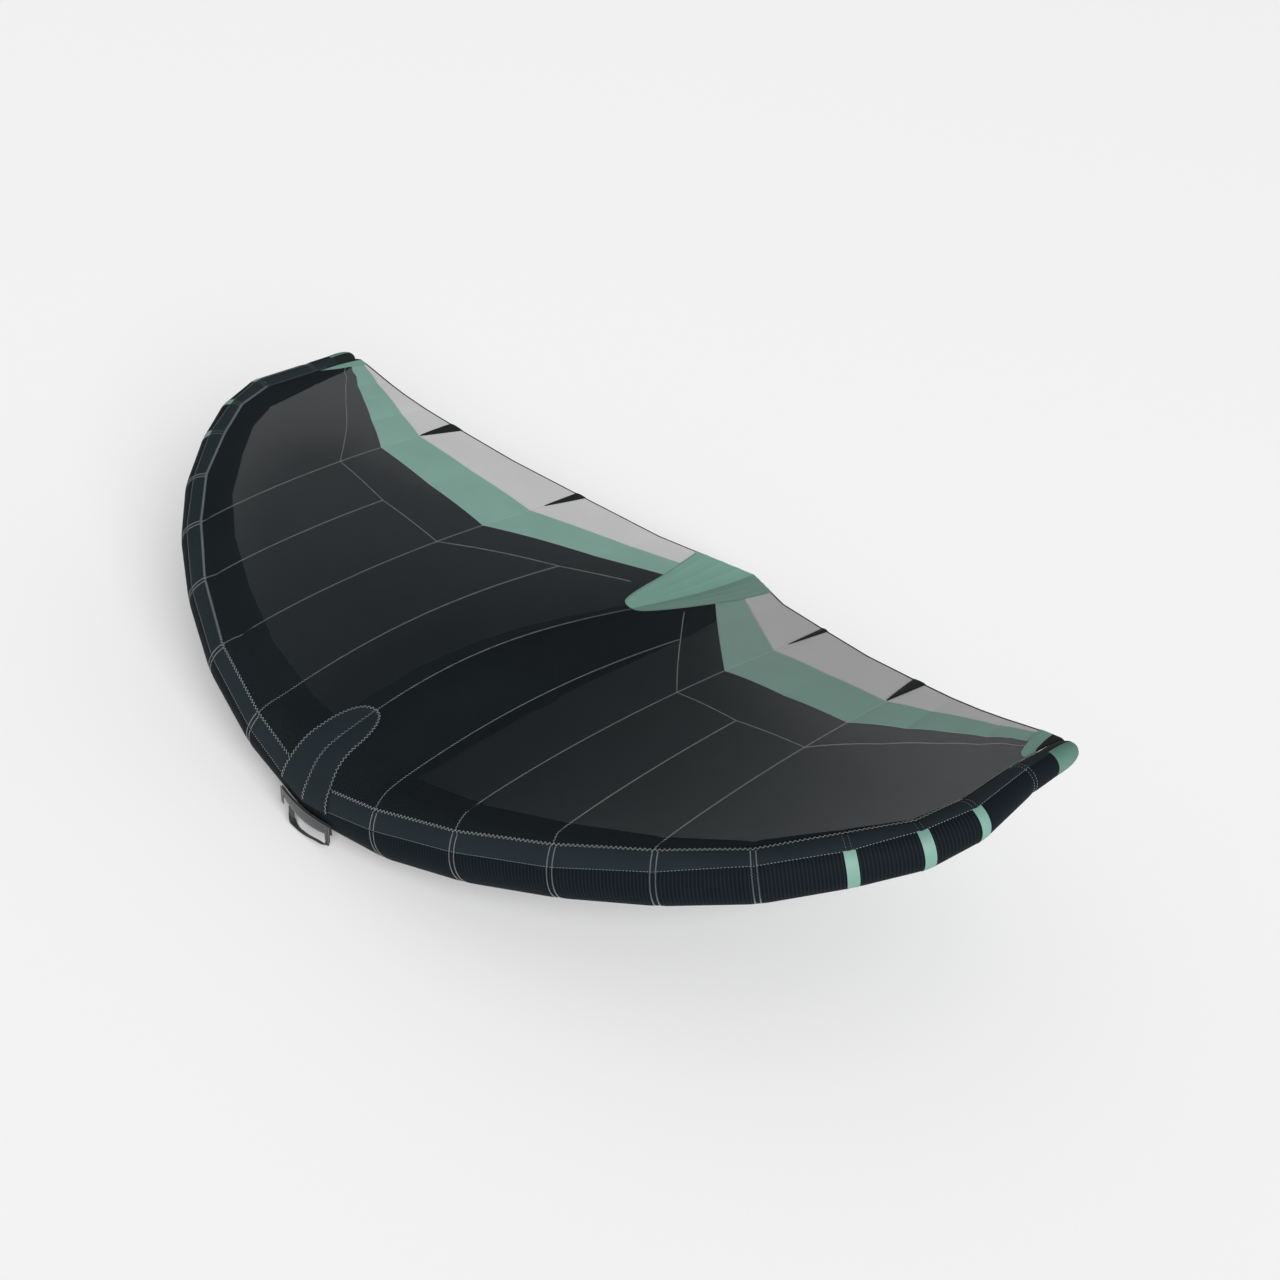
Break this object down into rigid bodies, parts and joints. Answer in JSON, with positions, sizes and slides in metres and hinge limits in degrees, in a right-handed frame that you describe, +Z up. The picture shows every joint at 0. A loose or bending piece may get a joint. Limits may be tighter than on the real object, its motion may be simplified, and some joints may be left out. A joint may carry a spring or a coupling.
{
  "type": "inflatable wing for wing foiling",
  "caption": "Inflatable hand-held wing for wing foiling: segmented black leading edge, centre strut, dark canopy with teal and light grey trailing bands, handles and leash loop.",
  "frame": {"origin": "bottom centre of the wing's box as it stands, canopy up", "axes": "+X along the span to the wing's own left when it flies away from the viewer, right in the picture; +Y from the nose to the trailing edge; +Z up, through the canopy"},
  "size_m": [3.2626, 2.1574, 0.6609],
  "materials": {
    "dacron_casing": "woven polyester, matt",
    "canopy_ripstop": "coated ripstop, satin",
    "teal_cloth": "coated cloth, satin",
    "light_cloth": "coated cloth, satin",
    "reinforcement_cloth": "woven polyester, matt",
    "grey_webbing": "webbing, matt",
    "black_webbing": "webbing, matt",
    "bladder_film": "soft film",
    "valve_plastic": "moulded",
    "batten_fibreglass": "pultruded rod"
  },
  "bodies": {
    "wing": {"batten_1_left": "batten_fibreglass", "batten_1_right": "batten_fibreglass", "batten_2_left": "batten_fibreglass", "batten_2_right": "batten_fibreglass", "batten_pocket_1_left": "reinforcement_cloth", "batten_pocket_1_right": "reinforcement_cloth", "batten_pocket_2_left": "reinforcement_cloth", "batten_pocket_2_right": "reinforcement_cloth", "canopy_light_band_left": "light_cloth", "canopy_light_band_right": "light_cloth", "canopy_panel_1_left": "canopy_ripstop", "canopy_panel_1_right": "canopy_ripstop", "canopy_panel_2_left": "canopy_ripstop", "canopy_panel_2_right": "canopy_ripstop", "canopy_panel_3_left": "canopy_ripstop", "canopy_panel_3_right": "canopy_ripstop", "canopy_panel_4_left": "canopy_ripstop", "canopy_panel_4_right": "canopy_ripstop", "canopy_panel_5_left": "canopy_ripstop", "canopy_panel_5_right": "canopy_ripstop", "canopy_strip_left": "canopy_ripstop", "canopy_strip_right": "canopy_ripstop", "canopy_teal_band_left": "teal_cloth", "canopy_teal_band_right": "teal_cloth", "handle_patch_front": "reinforcement_cloth", "handle_patch_rear": "reinforcement_cloth", "le_bladder": "bladder_film", "le_nose_panel": "dacron_casing", "le_panel_1_left": "dacron_casing", "le_panel_1_right": "dacron_casing", "le_panel_2_left": "dacron_casing", "le_panel_2_right": "dacron_casing", "le_panel_3_left": "dacron_casing", "le_panel_3_right": "dacron_casing", "le_panel_4_left": "dacron_casing", "le_panel_4_right": "dacron_casing", "le_panel_5_left": "dacron_casing", "le_panel_5_right": "dacron_casing", "le_panel_6_left": "dacron_casing", "le_panel_6_right": "dacron_casing", "le_panel_7_left": "dacron_casing", "le_panel_7_right": "dacron_casing", "le_panel_8_left": "dacron_casing", "le_panel_8_right": "dacron_casing", "le_tip_cap_left": "teal_cloth", "le_tip_cap_right": "teal_cloth", "nose_patch": "reinforcement_cloth", "strut_bladder": "bladder_film", "strut_casing": "dacron_casing", "tail_patch": "teal_cloth", "tip_patch_left": "teal_cloth", "tip_patch_right": "teal_cloth", "valve_body": "valve_plastic"},
    "front_handle": {"front_handle_pad": "reinforcement_cloth", "front_handle_strap": "grey_webbing"},
    "leash_loop": {"leash_loop": "black_webbing"},
    "strut_handle_front": {"strut_handle_front": "grey_webbing"},
    "strut_handle_rear": {"strut_handle_rear": "grey_webbing"},
    "valve_cap": {"valve_cap": "valve_plastic"}
  },
  "joints": [
    {"name": "front_handle_tilt", "type": "hinge", "parent": "wing", "child": "front_handle", "pos_m": [0, -1.05694, 0.11579], "axis": [-1, 0, 0], "range_deg": [0, 25]},
    {"name": "leash_loop_swing", "type": "hinge", "parent": "front_handle", "child": "leash_loop", "pos_m": [0.023, -1.06618, 0.06107], "axis": [0.9979, 0, -0.0652], "range_deg": [-25, 20]},
    {"name": "strut_handle_front_swing", "type": "hinge", "parent": "wing", "child": "strut_handle_front", "pos_m": [0, -0.63055, 0.06225], "axis": [0, 0.9986, 0.0538], "range_deg": [-60, 60]},
    {"name": "strut_handle_rear_swing", "type": "hinge", "parent": "wing", "child": "strut_handle_rear", "pos_m": [0, -0.09305, 0.06549], "axis": [0, 0.9983, -0.0583], "range_deg": [-60, 60]},
    {"name": "valve_cap_open", "type": "hinge", "parent": "wing", "child": "valve_cap", "pos_m": [0.21657, -0.80461, 0.21211], "axis": [0.9998, -0.0218, -0.0029], "range_deg": [0, 110]}
  ]
}
